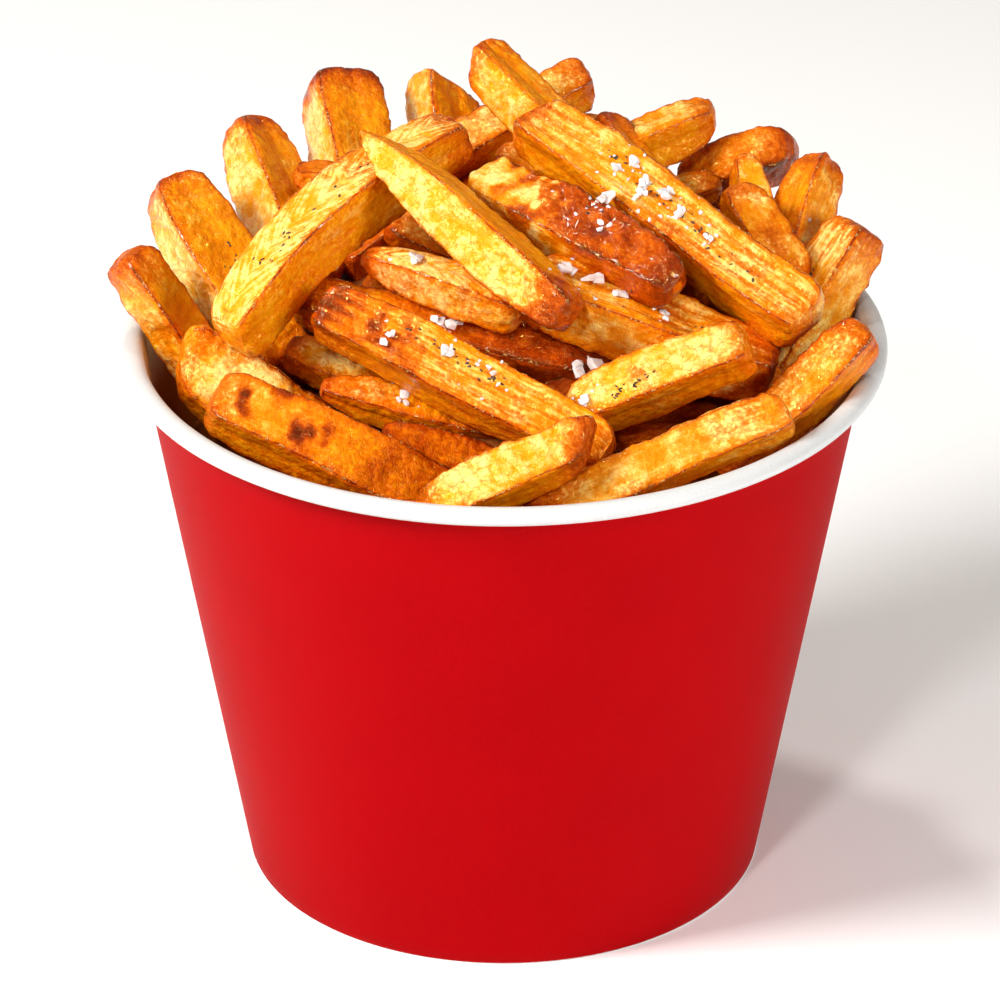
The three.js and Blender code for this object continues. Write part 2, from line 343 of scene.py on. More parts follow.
def lumps(points, seed):
    # smooth noise from -1 to 1, with one lump to a unit
    count = 32  # lumps along each axis before it repeats
    table = np.random.default_rng(seed).uniform(-1, 1, (count,) * 3)
    cell = np.floor(points).astype(int)
    share = points - cell
    share = share * share * (3 - 2 * share)
    total = np.zeros(len(points))
    for corner in np.ndindex(2, 2, 2):
        at = (cell + corner) % count
        weight = np.where(np.array(corner), share, 1 - share).prod(axis=1)
        total += weight * table[at[:, 0], at[:, 1], at[:, 2]]
    return total


def rise(value, low, high):
    # 0 up to low, 1 from high, and a smooth step between them
    share = np.clip((value - low) / (high - low), 0, 1)
    return share * share * (3 - 2 * share)


floor = {"size": 3000, "colour": (0.99, 0.99, 0.99)}


def addFloor():
    bm = bmesh.new()
    bmesh.ops.create_grid(bm, x_segments=8, y_segments=8, size=floor["size"] * mm)
    mesh = bpy.data.meshes.new("floor")
    bm.to_mesh(mesh)
    bm.free()
    paint = Paint("floorSheet")
    piece = addPiece("floor", mesh, paint.finish(Base_Color=(*floor["colour"], 1), Roughness=0.7))


cup = {
    "height": 126.5,
    "footRadius": 57.5,
    "neckRadius": 79.2,
    "rimRadius": 84,
    "rollWidth": 5,
    "rollHeight": 3.8,
    "rollTurn": (1.2, 2.95),  # where the roll's section starts and ends, in half turns
    "rollPoints": 22,
    "board": 0.7,
    "hemHeight": 7,
    "hemThickness": 1.8,
    "baseBottom": 7.3,
    "baseTop": 8.1,
    "edge": 0.3,           # how far the cut edges are drawn in
    "facets": 192,
    "rings": 14,
    "seamAt": 74,          # degrees round from +X, where the sheet's edge lies over its other edge
    "seamWidth": 9,
    "seamStep": 0.35,
    "red": (0.355, 0.0004, 0.0022),
    "white": (0.61, 0.61, 0.605),
    "innerShade": (108, 123),   # heights between which the inner side turns from painted shade to white
}
neckHeight = cup["height"] - cup["rollHeight"]


def outside(z):
    return cup["footRadius"] + (cup["neckRadius"] - cup["footRadius"]) * z / neckHeight


def inside(z):
    return outside(z) - cup["board"]


def spun(points, facets):
    # a closed profile of [radius, height] turned round Z
    bm = bmesh.new()
    ring = [bm.verts.new((r, 0, z)) for r, z in points]
    for i in range(len(ring)):
        bm.edges.new((ring[i - 1], ring[i]))
    bmesh.ops.spin(bm, geom=bm.verts[:] + bm.edges[:], axis=(0, 0, 1), cent=(0, 0, 0),
                   angle=2 * math.pi, steps=facets, use_merge=True)
    bmesh.ops.remove_doubles(bm, verts=bm.verts[:], dist=1e-4)
    bmesh.ops.recalc_face_normals(bm, faces=bm.faces[:])
    return bm


def finished(bm, name):
    mesh = bpy.data.meshes.new(name)
    bmesh.ops.scale(bm, vec=(mm, mm, mm), verts=bm.verts[:])
    bm.to_mesh(mesh)
    bm.free()
    return mesh


def addCup():
    rollMiddle = cup["rimRadius"] - cup["rollWidth"] / 2
    rollHeight = cup["height"] - cup["rollHeight"] / 2
    rings, edge = cup["rings"], cup["edge"]
    points = [(outside(0) - edge / 2, 0), (outside(edge), edge)]
    points += [(outside(z), z) for z in np.linspace(4, neckHeight, rings)]
    for angle in np.linspace(*cup["rollTurn"], cup["rollPoints"]) * math.pi:
        points.append((rollMiddle + cup["rollWidth"] / 2 * math.cos(angle),
                       rollHeight + cup["rollHeight"] / 2 * math.sin(angle)))
    points += [(inside(z), z) for z in np.linspace(neckHeight, cup["hemHeight"] + 0.2, rings)]
    hemInside = [(outside(z) - cup["hemThickness"], z) for z in (cup["hemHeight"], edge)]
    points += [(inside(cup["hemHeight"]) - edge, cup["hemHeight"]), *hemInside,
               (outside(0) - cup["hemThickness"] + edge, 0)]
    bm = spun(points, cup["facets"])
    # the sheet's outer edge steps up sharply on one side of the seam and fades on the other
    at = math.radians(cup["seamAt"])
    for vert in bm.verts:
        radius = math.hypot(vert.co.x, vert.co.y)
        if vert.co.z < neckHeight + 0.1 and radius > outside(vert.co.z) - 0.2:
            turn = math.remainder(math.atan2(vert.co.y, vert.co.x) - at, 2 * math.pi) * radius
            if 0 <= turn < cup["seamWidth"]:
                grow = cup["seamStep"] * (1 - turn / cup["seamWidth"]) ** 0.5
                vert.co.x *= 1 + grow / radius
                vert.co.y *= 1 + grow / radius
    # the outer side is printed, the inner side is painted with shade further down, and the roll and the hem
    # stay white
    for face in bm.faces:
        middle = face.calc_center_median()
        radius = math.hypot(middle.x, middle.y)
        isPrint = edge < middle.z < neckHeight + 0.2 and radius > outside(middle.z) - 0.3
        isInner = cup["hemHeight"] < middle.z < neckHeight and radius < outside(middle.z) - 0.3
        face.material_index = 1 if isPrint else 2 if isInner else 0
    white = board("whiteBoard", cup["white"], 0.42)
    red = board("redPrint", cup["red"], 0.5, 0.02)
    innerShade = innerShadeBoard(*cup["innerShade"])
    keep(addPiece("cupSheet", finished(bm, "cupSheet"), white, red, innerShade), "cup_wall", "cup_wall")

    # the base: a flat disc, its edge pressed down a little where it meets the wall
    low, high = cup["baseBottom"], cup["baseTop"]
    reach = inside(low) - 0.35
    disc = spun([(0.01, low), (reach - 0.2, low), (reach, low + 0.2), (reach, high - 0.2),
                 (reach - 0.2, high), (reach - 3, high), (reach - 3.6, high - 0.15),
                 (0.01, high - 0.15)], cup["facets"])
    raw = board("rawBoard", (0.84, 0.82, 0.78), 0.6)
    keep(addPiece("cupDisc", finished(disc, "cupDisc"), raw), "cup_base", "cup_base")
    print("cup made")


heap = {
    "top": [(73, 95), (62, 102), (46, 110), (25, 118), (0.01, 121)],
    "mound": {"at": (-4, 28, 100), "radii": (50, 42, 36)},
    "sunk": 1.2,           # how far the crumbs lie under the sticks' bed
    "facets": 96,
    "loose": (7, 0.9),     # size and height of the crumbs' lumps
    "looseAbove": 92,
}


def bedHeight(x, y):
    # the bed under the sticks: the turned top and the mound at the back
    radius = np.hypot(x, y)
    rows = heap["top"][::-1]
    turned = np.interp(radius, [r for r, _ in rows], [z for _, z in rows])
    at, radii = heap["mound"]["at"], heap["mound"]["radii"]
    inner = 1 - ((x - at[0]) / radii[0]) ** 2 - ((y - at[1]) / radii[1]) ** 2
    mound = np.where(inner > 0, at[2] + radii[2] * np.sqrt(np.maximum(inner, 0)), 0)
    return np.maximum(turned, mound)


def addBed(material):
    foot = cup["baseTop"] + 0.4
    sunk = heap["sunk"]
    bm = spun([(0.01, foot), (inside(foot) - 0.5, foot),
               *[(r - 0.4 if r > 1 else r, z - sunk) for r, z in heap["top"]]], heap["facets"])
    bmesh.ops.subdivide_edges(bm, edges=[e for e in bm.edges if e.calc_length() > 6], cuts=3,
                              use_grid_fill=True)
    at, radii = Vector(heap["mound"]["at"]), Vector(heap["mound"]["radii"])
    shape = Matrix.Translation(at) @ Matrix.Diagonal((*(radii - Vector((sunk,) * 3)), 1))
    bmesh.ops.create_icosphere(bm, subdivisions=5, radius=1, matrix=shape)
    size, height = heap["loose"]
    for vert in bm.verts:
        if vert.co.z > heap["looseAbove"]:
            vert.co.z += height * lumps(np.array([vert.co]) / size, 5)[0]
    bm.normal_update()
    addFood("crumbBed", finished(bm, "crumbBed"), material)


# What each face of a stick is like.
# pale: 1 for the pale outside of the fruit, 0 for its orange inside; rough: crags;
# fibre: strands along it; hollow and groove: how far its middle and a line along it sink in;
# toast: how brown.
faceKinds = {
    "p": {"pale": 0.95, "rough": 1.0, "fibre": 0.15, "hollow": 0.0, "groove": 0.0, "toast": -0.05},
    "f": {"pale": 0.9, "rough": 0.5, "fibre": 0.7, "hollow": 0.1, "groove": 0.3, "toast": -0.05},
    "r": {"pale": 0.5, "rough": 0.45, "fibre": 0.55, "hollow": 0.1, "groove": 1.1, "toast": 0.02},
    "g": {"pale": 0.55, "rough": 0.9, "fibre": 0.2, "hollow": 0.1, "groove": 0.0, "toast": 0.06},
    "s": {"pale": 0.08, "rough": 0.35, "fibre": 0.3, "hollow": 0.45, "groove": 0.5, "toast": 0.03},
    "b": {"pale": 0.15, "rough": 0.8, "fibre": 0.4, "hollow": 0.1, "groove": 0.0, "toast": 0.4},
    "c": {"pale": 0.0, "rough": 1.7, "fibre": 0.2, "hollow": 0.0, "groove": 0.0, "toast": 0.5},
}

# Sticks: both ends [x, y, z] of the middle line, [width, thickness], the roll about it in degrees,
# and the kinds of its upper, right, lower and left faces as seen from its first end.
# tips: how wide the ends stay, 0.9 where not given; bow: rise of the middle; cut: slant of the end
# faces; brown: how brown the ends are, 0.35 where not given;
# spots: [along, across, up, radius, toast, pale] where it is browner or paler.
topSticks = {
    "topSlab": ((6, 28, 165), (65, -18, 138), (14, 13.5), 24, "rssp", {
        "tips": (0.9, 0.95), "cut": (-0.3, 0), "brown": (0.3, 0.15),
        "spots": [(0.55, 1, 0.2, 9, 0.35, 0), (0.3, 0, 1, 12, -0.1, 0.1)]}),
    "leftArc": ((-59, -17, 134), (-10, 30, 160), (14, 14), -1, "fsps", {
        "tips": (0.9, 0.7), "bow": 6, "brown": (0.1, 0.6)}),
    "pointed": ((-31, 14, 168), (14, -27, 144), (12, 12), 62, "psss", {
        "tips": (0.2, 0.75), "brown": (0.3, 0.5),
        "spots": [(0.97, 0.9, 0.9, 11, 0.5, -0.5), (0.9, -1, 0.9, 8, 0.2, -0.3)]}),
    "glazed": ((-5, 16, 155), (37, -18, 147), (14, 12.5), 20, "cbbc", {
        "tips": (0.7, 0.65), "brown": (0.3, 0.45),
        "spots": [(0.02, 0, 0, 20, -1.1, 0.8), (0.45, 1, -0.4, 12, -0.45, 0.3),
                  (0.45, 0, 1, 6, 0.3, 0), (0.6, 0.3, 1, 7, 0.4, 0), (0.72, -0.3, 1, 6, 0.35, 0)]}),
    "leftInner": ((-30, -1, 146), (3, -17, 140), (9, 9), 10, "fggs", {
        "tips": (0.5, 1), "brown": (0.6, 0.2)}),
    "rightInner": ((6, -11, 144), (58, -18, 126), (14, 14), 13, "rgss", {"brown": (0.2, 0.5)}),
    "frontLong": ((-39, -14, 140), (22, -43, 119), (13.5, 13.5), 36, "rsss", {
        "tips": (0.85, 0.8), "brown": (0.4, 0.15),
        "spots": [(0.1, -0.2, 1, 15, 0.3, -0.2), (0.05, -0.2, 1, 7, 0.3, -0.2),
                  (0.3, 0.5, 1, 9, 0.3, 0), (0.2, -0.1, 1, 5, 0.2, 0)]}),
    "darkUnder": ((-45, 0, 134), (23, -18, 126), (11, 11), 31, "bbbb", {
        "tips": (0.8, 0.6), "brown": (0.5, 0.8),
        "spots": [(0.85, 0, 1, 18, 0.35, 0), (0.1, 0, 1, 22, -0.2, 0)]}),
    "underSlab": ((-1, 37, 152), (24, 30, 145), (8, 8), 22, "gsss"),
    "innerLeft": ((-25, 26, 141), (-7, 24, 133), (8.5, 8.5), 34, "pggs", {"tips": (0.8, 1)}),
    "innerAcross": ((-35, 24, 132), (-19, 38, 138), (9, 9), 7, "ssss", {"tips": (1, 1)}),
}
frontSticks = {
    "frontRight": ((15, -29, 122), (52, -29, 138), (11.5, 11.5), 33, "pssp", {
        "tips": (0.85, 1), "brown": (0.15, 0.35), "spots": [(0.45, 0.1, 1, 4, 0.3, -0.3)]}),
    "frontShort": ((-15, -64, 117), (18, -56, 129), (11.5, 10.5), 35, "pssp", {
        "tips": (0.8, 0.8), "cut": (0, -0.8), "brown": (0.3, 0.6)}),
    "rimRight": ((6, -59, 112), (60, -46, 131), (10.5, 9.5), 39, "gssp", {
        "tips": (0.8, 0.9), "brown": (0.7, 0.2)}),
    "frontFat": ((-62, -31, 127), (-8, -42, 103), (15, 13.5), 35, "gssg", {
        "tips": (0.8, 0.9), "brown": (0.25, 0.5),
        "spots": [(0.09, -0.3, 1, 2.2, 0.55, -0.2), (0.1, 0, 1, 2, 0.6, -0.2),
                  (0.115, 0.3, 1, 2, 0.55, -0.2), (0.13, 0.6, 1, 2, 0.5, -0.2),
                  (0.2, -0.7, 1, 3.5, 0.5, -0.2), (0.26, -0.8, 1, 3, 0.4, 0),
                  (0.33, 0.45, 1, 2, 0.8, -0.4), (0.37, 0.15, 1, 1.8, 0.8, -0.4),
                  (0.41, -0.15, 1, 2, 0.8, -0.3), (0.3, 0.2, 1, 1.6, 0.6, 0),
                  (0.42, 0.3, 1, 1.8, 0.5, 0), (0.37, 0.2, 1, 9, 0.25, 0),
                  (0.8, 0, 1, 19, 0.2, -0.5), (0.45, 0, 1, 30, 0.05, -0.25)]}),
    "leftWedge": ((-70, -10, 126), (-42, -14, 106), (18, 14), 50, "pssp", {
        "tips": (0.85, 1), "cut": (0.4, 0), "brown": (0.3, 0.2)}),
    "frontThin": ((-39, -21, 123), (-1, -25, 115), (9, 9), 27, "gssg", {
        "tips": (0.5, 0.8), "brown": (0.45, 0.5)}),
    "innerPale": ((-47, -3, 124), (-27, -9, 118), (9, 9), 29, "pggs", {
        "tips": (0.8, 0.9), "brown": (0.5, 0.2)}),
    "innerBrown": ((-27, -33, 116), (-1, -34, 109.5), (9.5, 8.5), 32, "bbbb", {
        "spots": [(0.5, 0, 1, 24, -0.25, 0.1)]}),
    "innerFront": ((20, -28, 112), (40, -22, 112), (7, 7), 31, "bbbb"),
}
rimSticks = {
    "leftEdge": ((-54, -1, 100), (-82.6, 3, 143.5), (10.5, 10), -23, "sssg", {
        "tips": (0.8, 1), "brown": (0.3, 0.38)}),
    "leftWide": ((-50, 0, 117), (-74, 34, 147), (16, 16), -6, "sssp", {
        "tips": (1, 0.7), "brown": (0.2, 0.55)}),
    "leftFan": ((-42, 20, 128), (-57, 58, 150), (14, 14), 23, "sssp", {
        "tips": (1, 0.7), "brown": (0.2, 0.6)}),
    "uprightBlock": ((-30, 33, 135), (-38, 69, 155), (16, 16), 12, "sssp", {
        "tips": (1, 0.95), "brown": (0.2, 0.9)}),
    "wedgeEnd": ((-9, 53, 127), (-14, 72, 153), (14, 14), 19, "sssp", {
        "tips": (1, 0.85), "cut": (0, -0.7), "brown": (0.2, 0.25)}),
    "crossBack": ((-19, 45, 143), (19, 68, 156), (10.5, 10.5), 16, "gsss", {
        "cut": (0, -0.2), "brown": (0.3, 0.35)}),
    "peak": ((20, 32, 150), (-5, 52, 170), (11, 11), -78, "psss", {
        "tips": (1, 0.85), "cut": (0, 0.35), "brown": (0.2, 0.4)}),
    "farMiddle": ((17, 43, 145), (47, 57, 152), (10, 10), 0, "gsss", {
        "tips": (0.9, 0.8), "cut": (0, -0.45), "brown": (0.3, 0.35)}),
    "farRight": ((41, 58, 134), (65, 57, 144), (11.5, 11.5), 37, "gbss", {
        "tips": (0.8, 0.85), "bow": 2, "cut": (0, -0.2), "brown": (0.4, 0.5),
        "spots": [(0.5, 0, 1, 20, 0.2, -0.1)]}),
    "rightBack": ((62, 19, 128), (71, 40, 150), (11, 11), 60, "gsss", {
        "tips": (0.9, 0.65), "brown": (0.3, 0.45)}),
    "rightLean": ((54, 1, 104), (79, 20, 142), (13, 13), 89, "gssf", {"brown": (0.2, 0.4)}),
    "rightEdge": ((47, -37, 112), (78, -21, 137), (10.5, 10.5), 25, "gssg", {
        "brown": (0.3, 0.45), "spots": [(0.3, 0, 1, 22, 0.15, -0.1)]}),
}
shortSticks = {
    "stubLeft": ((-34, 37, 144), (-46, 37, 147), (7.5, 7.5), -85, "psss", {"tips": (1, 0.7)}),
    "stubFar": ((32, 34, 143), (22, 52, 154), (8, 8), -65, "gsss", {"tips": (1, 0.8), "brown": (0.2, 0.7)}),
    "stubRight": ((30, 50, 133), (48, 47, 140), (7, 7), 38, "gsss", {"tips": (1, 0.8)}),
    "paleTip": ((60, 16, 130), (53, 41, 149), (8.5, 8.5), 5, "psss", {"tips": (1, 0.55)}),
    "brownTip": ((63, 11, 133), (50, 25, 149), (11, 11), -12, "gsss", {
        "tips": (1, 0.6), "spots": [(0.45, 0.2, 1, 5, 0.5, -0.2)]}),
}
# The second layer in the gaps, and the far side.
lowSticks = {
    "underA": ((28, -12, 112), (57, -24, 109), (12, 11), 20, "bgbs"),
    "underB": ((4, -22, 115), (36, -12, 123), (11, 11), 35, "bbgs"),
    "underC": ((38, 5, 118), (59, -8, 114), (12, 12), 10, "gbsb"),
    "underD": ((-30, 14, 128), (14, 2, 130), (12, 12), 25, "sbgs"),
    "underE": ((8, 22, 138), (44, 4, 134), (12, 12), 15, "bbgs"),
    "underF": ((18, 35, 140), (50, 20, 131), (11, 11), 30, "sgbs"),
    "underG": ((-26, -63, 110), (9, -57, 109), (12, 12), 20, "sbgb"),
    "underH": ((30, -56, 104), (62, -30, 106), (12, 11), 20, "bsgb"),
    "underL": ((2, -36, 108), (32, -46, 109), (11, 11), 10, "bsgb"),
    "underM": ((-12, -49, 102), (26, -54, 104), (12, 12), 25, "bsgb"),
    "underN": ((-58, -32, 102), (-32, -58, 104), (12, 12), 20, "gsbb"),
    "underP": ((66, -4, 109), (61, -31, 99), (10, 10), 15, "bsgb", {"tips": (0.9, 0.8)}),
    "backA": ((-60, 36, 115), (-16, 69, 121), (12, 12), 20, "spgs"),
    "backB": ((-4, 70, 119), (44, 55, 124), (12, 12), -25, "gssp", {"tips": (0.9, 0.8)}),
    "backC": ((46, 50, 118), (68, 18, 118), (11, 10), 15, "gpss"),
    "backD": ((-20, 36, 124), (-27, 80, 133), (12, 11), 10, "psgs", {"tips": (1, 0.8)}),
    "backE": ((4, 42, 127), (8, 82, 137), (12, 11), 30, "fsgs", {"tips": (1, 0.9)}),
    "backF": ((21, 33, 129), (35, 76, 137), (12, 12), 15, "gspb", {"tips": (1, 0.8)}),
    "backG": ((-38, 30, 117), (-55, 44, 126), (11, 11), 20, "sgbp", {"tips": (1, 0.9)}),
    "backH": ((-8, 42, 137), (24, 62, 145), (12, 11), 10, "gsps"),
}

stick = {
    "endLength": 3.6,        # over which an end draws in
    "endShrink": 0.82,
    "dome": 0.9,
    "square": (3.6, 8),      # at the ends and along the middle; 2 is round, more is squarer
    "taperPower": 2.2,
    "slantPower": 1.5,
    "wander": (20, 0.6),     # a lump's size and its height
    "swell": (11, 0.06),
    "crags": ((4.4, 0.36), (2.3, 0.36), (1.3, 0.22)),
    "smoothShare": 0.28,     # of the crags, on a smooth face
    "beads": (1.6, 0.42),
    "strand": (1.1, 13, 1.1),
    "strandHeight": 0.24,
    "strandLean": (0.93, 0.36),  # along and across, where they slant out from the middle line
    "sag": (15, 0.5),
    "touch": 4,              # how near another stick must be for a face to get painted shade where they touch
    "damp": (20, 18),        # how high above the bed a face gets painted shade, and over what height it fades
    "grooveWidth": 0.15,
    "middleLine": (0.05,),
    "ridgeLines": (-0.4, 0.04, 0.42),
    "patches": ((9, 11), (4, 13), (2.2, 12)),  # sizes and draws of uneven browning
    "faceGap": 40,           # between the patterns of a stick's faces
    "stickGap": (31, 17),    # and of one stick and the next
}


class Stick:
    def __init__(self, row, seed):
        start, end, self.size, roll, self.kinds, *more = row
        more = more[0] if more else {}
        self.start, self.run = np.array(start, float), np.subtract(end, start).astype(float)
        self.length = np.linalg.norm(self.run)
        self.along = self.run / self.length
        level = np.cross(self.along, (0, 0, 1))
        level /= np.linalg.norm(level)
        turn = math.radians(roll)
        self.face = np.cross(level, self.along) * math.cos(turn) + level * math.sin(turn)
        self.side = np.cross(self.along, self.face)
        self.tips, self.bow = more.get("tips", (0.9, 0.9)), more.get("bow", 0)
        self.cut, self.brown = more.get("cut", (0, 0)), more.get("brown", (0.35, 0.35))
        self.spots, self.seed = more.get("spots", ()), seed

    def at(self, t, x, y):
        # the point at t along it, x across it and y up from its middle line, both from -1 to 1
        t, x, y = (np.asarray(v, float) for v in (t, x, y))
        out = 1 - 2 * t
        pick = out > 0
        taper = 1 - (1 - np.where(pick, *self.tips)) * np.abs(out) ** stick["taperPower"]
        across = x * taper * self.size[0] / 2
        slant = np.where(pick, *self.cut) * np.abs(out) ** stick["slantPower"] * across
        up = self.bow * (1 - out * out) + y * taper * self.size[1] / 2
        return (self.start + self.run * t[..., None] + self.face * up[..., None]
                + self.side * across[..., None] + self.along * slant[..., None])

    def shape(self, grid):
        # the grid's points [across, along, up], from -1 to 1, laid on the stick's surface
        x, s, y = grid.T
        t = (s + 1) / 2
        x, y = (v * (1.25 - 0.25 * v * v) for v in (x, y))
        reach = np.maximum(np.abs(x), np.abs(y))
        near = np.minimum(t, 1 - t) * self.length
        close = 1 - np.clip(near / stick["endLength"], 0, 1)
        low, high = stick["square"]
        power = high + (low - high) * rise(close, 0, 1)
        around = (np.abs(x) ** power + np.abs(y) ** power) ** (1 / power)
        fit = np.where(around > 0, reach / np.maximum(around, 1e-6), 1)
        grow = stick["endShrink"] + (1 - stick["endShrink"]) * np.sqrt(1 - close * close)
        size, depth = stick["swell"]
        swell = 1 + depth * lumps(np.stack([t * self.length / size, x * 0.8, y * 0.8], 1), self.seed + 1)
        fit = fit * grow * swell
        # hollows and grooves of the four faces
        sink = np.zeros((len(t), 2))
        sides = ((y, x, 1, 1), (x, y, 0, 1), (-y, x, 1, -1), (-x, y, 0, -1))
        for kind, (value, across, axis, sign) in zip(self.kinds, sides):
            face = faceKinds[kind]
            lines = stick["ridgeLines" if kind == "r" else "middleLine"]
            depth = face["hollow"] * (1 - across ** 2)
            for line in lines:
                depth = depth + face["groove"] * np.exp(-((across - line) / stick["grooveWidth"]) ** 2)
            sink[:, axis] -= sign * (value > 0.999) * depth * grow
        points = self.at(t, x * fit, y * fit)
        points += self.side * sink[:, :1] + self.face * sink[:, 1:]
        size, depth = stick["wander"]
        path = np.stack([t * self.length / size, t * 0, t * 0], 1)
        for axis, draws in ((self.side, 2), (self.face, 3)):
            points += axis * (depth * lumps(path, self.seed + draws))[:, None]
        cap = (np.abs(s) > 0.9999) * np.sign(s)
        points += self.along * (cap * stick["dome"] * (1 - reach ** 2))[:, None]
        return points

    def touched(self, points, crowd):
        # 1 where another stick lies against this one
        gap = np.full(len(points), 99.0)
        for other in crowd:
            if other is not self:
                share = np.clip((points - other.start) @ other.run / other.length ** 2, 0, 1)
                away = np.linalg.norm(points - other.start - share[:, None] * other.run, axis=1)
                gap = np.minimum(gap, away - sum(other.size) / 4)
        return rise(-gap, -stick["touch"], 0)

    def looks(self, grid, points, crowd):
        # pale, rough, fibre, toast, crisp and tone at each point
        x, s, y = grid.T
        t = (s + 1) / 2
        weights = np.maximum(np.stack([y, x, -y, -x], 1), 0) ** 12
        weights /= np.maximum(weights.sum(1, keepdims=True), 1e-6)
        rows = {key: weights @ np.array([faceKinds[k][key] for k in self.kinds])
                for key in ("pale", "rough", "fibre", "toast")}
        small, large = np.sort(np.abs(np.stack([x, y], 1)), 1).T
        across = small / np.maximum(large, 1e-6) * (np.abs(s) < 0.9999)
        corner, border = rise(across, 0.84, 1.0), rise(across, 0.4, 0.97)
        core = np.exp(-((across - 0.04) / 0.09) ** 2)
        # painted shade: the grooves along a ridged upper face are browned where shade falls in them
        grooveShade = np.zeros(len(t))
        if self.kinds[0] == "r":
            for line in stick["ridgeLines"]:
                grooveShade += (y > 0.999) * np.exp(-((x - line) / 0.07) ** 2)
        patch, blotch, fleck = (lumps(points / size + self.seed, draws)
                                for size, draws in stick["patches"])
        ends = np.zeros(len(t))
        for brown, gone in zip(self.brown, (t, 1 - t)):
            away = gone * self.length + 2.2 * patch + 1.0 * fleck
            ends += brown * (0.5 * rise(-away, -13, -1) + 0.55 * rise(-away, -4.5, 0))
        rows["crisp"] = corner
        rows["tone"] = 0.25 * patch + 0.25 * blotch + 0.35 * fleck
        rows["toast"] += (ends + 0.16 * patch + 0.1 * blotch + 0.22 * border
                          + core * rows["fibre"] * (0.14 + 0.3 * fleck) + 0.28 * grooveShade
                          + corner * (0.56 + 0.4 * fleck + 0.2 * patch))
        rows["pale"] += 0.16 * patch + 0.14 * blotch - 0.5 * border
        # painted shade: faces low in the heap, where shade falls, are made less pale and browner
        above, fade = stick["damp"]
        low = rise(bedHeight(points[:, 0], points[:, 1]) + above - points[:, 2], 0, fade)
        # painted shade: faces that another stick lies against are made less pale and browner
        touch = self.touched(points, crowd)
        rows["pale"] -= 0.6 * low + 0.3 * touch
        rows["toast"] += 0.16 * low + 0.15 * touch
        for along, across, up, radius, toast, pale in self.spots:
            gap = np.linalg.norm(points - self.at(along, across, up), axis=1)
            near = rise(-gap / radius + 0.6 * fleck + 0.3 * blotch, -1.15, 0)
            rows["toast"] += toast * near
            rows["pale"] += pale * near
        return rows


def blockOf(acrossCuts, alongCuts):
    # a cube from -1 to 1 cut into a grid, its length on Y
    bm = bmesh.new()
    bmesh.ops.create_cube(bm, size=2)
    for axis, cuts in ((1, alongCuts), (0, acrossCuts), (2, acrossCuts)):
        lines = [e for e in bm.edges
                 if abs((e.verts[0].co - e.verts[1].co).normalized()[axis]) > 0.9]
        bmesh.ops.subdivide_edges(bm, edges=lines, cuts=cuts, use_grid_fill=True)
    mesh = bpy.data.meshes.new("block")
    bm.to_mesh(mesh)
    bm.free()
    return mesh


def readVectors(items, key):
    values = np.zeros(len(items) * 3)
    items.foreach_get(key, values)
    return values.reshape(-1, 3)


def addSticks(name, group, block, material, crowd):
    bm = bmesh.new()
    for _ in group:
        bm.from_mesh(block)
    mesh = bpy.data.meshes.new(name)
    bm.to_mesh(mesh)
    bm.free()
    grid = readVectors(block.vertices, "co")
    corners = np.zeros(len(block.loops), int)
    block.loops.foreach_get("vertex_index", corners)
    normals = np.repeat(readVectors(block.polygons, "normal"), 4, axis=0)
    points, looks, grains, local = [], [], [], []
    seed, gap = group[0].seed, stick["faceGap"]
    lean, out = stick["strandLean"]
    for one in group:
        placed = one.shape(grid)
        points.append(placed)
        looks.append(one.looks(grid, placed, crowd))
        size = np.array([one.size[0], one.length, one.size[1]]) / 2
        flat = grid[corners] * size
        level = np.abs(normals)
        run = np.where(level[:, 1] > 0.5, flat[:, 0], flat[:, 1])
        across = np.where(level[:, 0] > 0.5, flat[:, 2] + gap, flat[:, 0])
        across = np.where(level[:, 1] > 0.5, flat[:, 2] + 2 * gap, across)
        if one.kinds[0] == "f":  # its strands slant out from the middle line
            top = normals[:, 2] > 0.5
            run = np.where(top, flat[:, 1] * lean + np.abs(flat[:, 0]) * out, run)
            across = np.where(top, np.abs(flat[:, 0]) * lean - flat[:, 1] * out, across)
        grains.append(np.stack([run, across], 1) + np.array(stick["stickGap"]) * one.seed)
        local.append(grid * size * (1 / np.array(stick["strand"])) + one.seed)
    points, local = np.concatenate(points), np.concatenate(local)
    looks = {key: np.concatenate([one[key] for one in looks]) for key in looks[0]}
    mesh.vertices.foreach_set("co", (points * mm).ravel())
    mesh.update()
    outward = readVectors(mesh.vertex_normals, "vector")
    relief = np.zeros(len(points))
    share = stick["smoothShare"] + (1 - stick["smoothShare"]) * looks["rough"]
    for size, depth in stick["crags"]:
        relief += share * depth * lumps(points / size, seed + int(size * 10))
    # crests of the crags made lighter and their hollows darker: painted highlight and shade that follow the
    # relief, on top of the random tone
    looks["tone"] += 0.9 * relief
    size, depth = stick["beads"]
    relief += looks["crisp"] * depth * lumps(points / size, seed + 7)
    relief += looks["fibre"] * stick["strandHeight"] * lumps(local, seed + 8)
    size, depth = stick["sag"]
    relief += depth * lumps(points / size, seed + 9)
    points += outward * relief[:, None]
    mesh.vertices.foreach_set("co", (points * mm).ravel())
    for key in ("pale", "toast", "fibre", "tone", "crisp"):
        mesh.attributes.new(key, "FLOAT", "POINT").data.foreach_set("value", looks[key])
    layer = mesh.uv_layers.new(name="grain")
    layer.data.foreach_set("uv", np.concatenate(grains).ravel())
    mesh.update()
    addFood(name, mesh, material)
    print(name, len(group), "sticks,", 2 * len(mesh.polygons), "triangles")
    surface = [tuple(face.vertices) for face in mesh.polygons]
    return BVHTree.FromPolygons([vert.co for vert in mesh.vertices], surface)


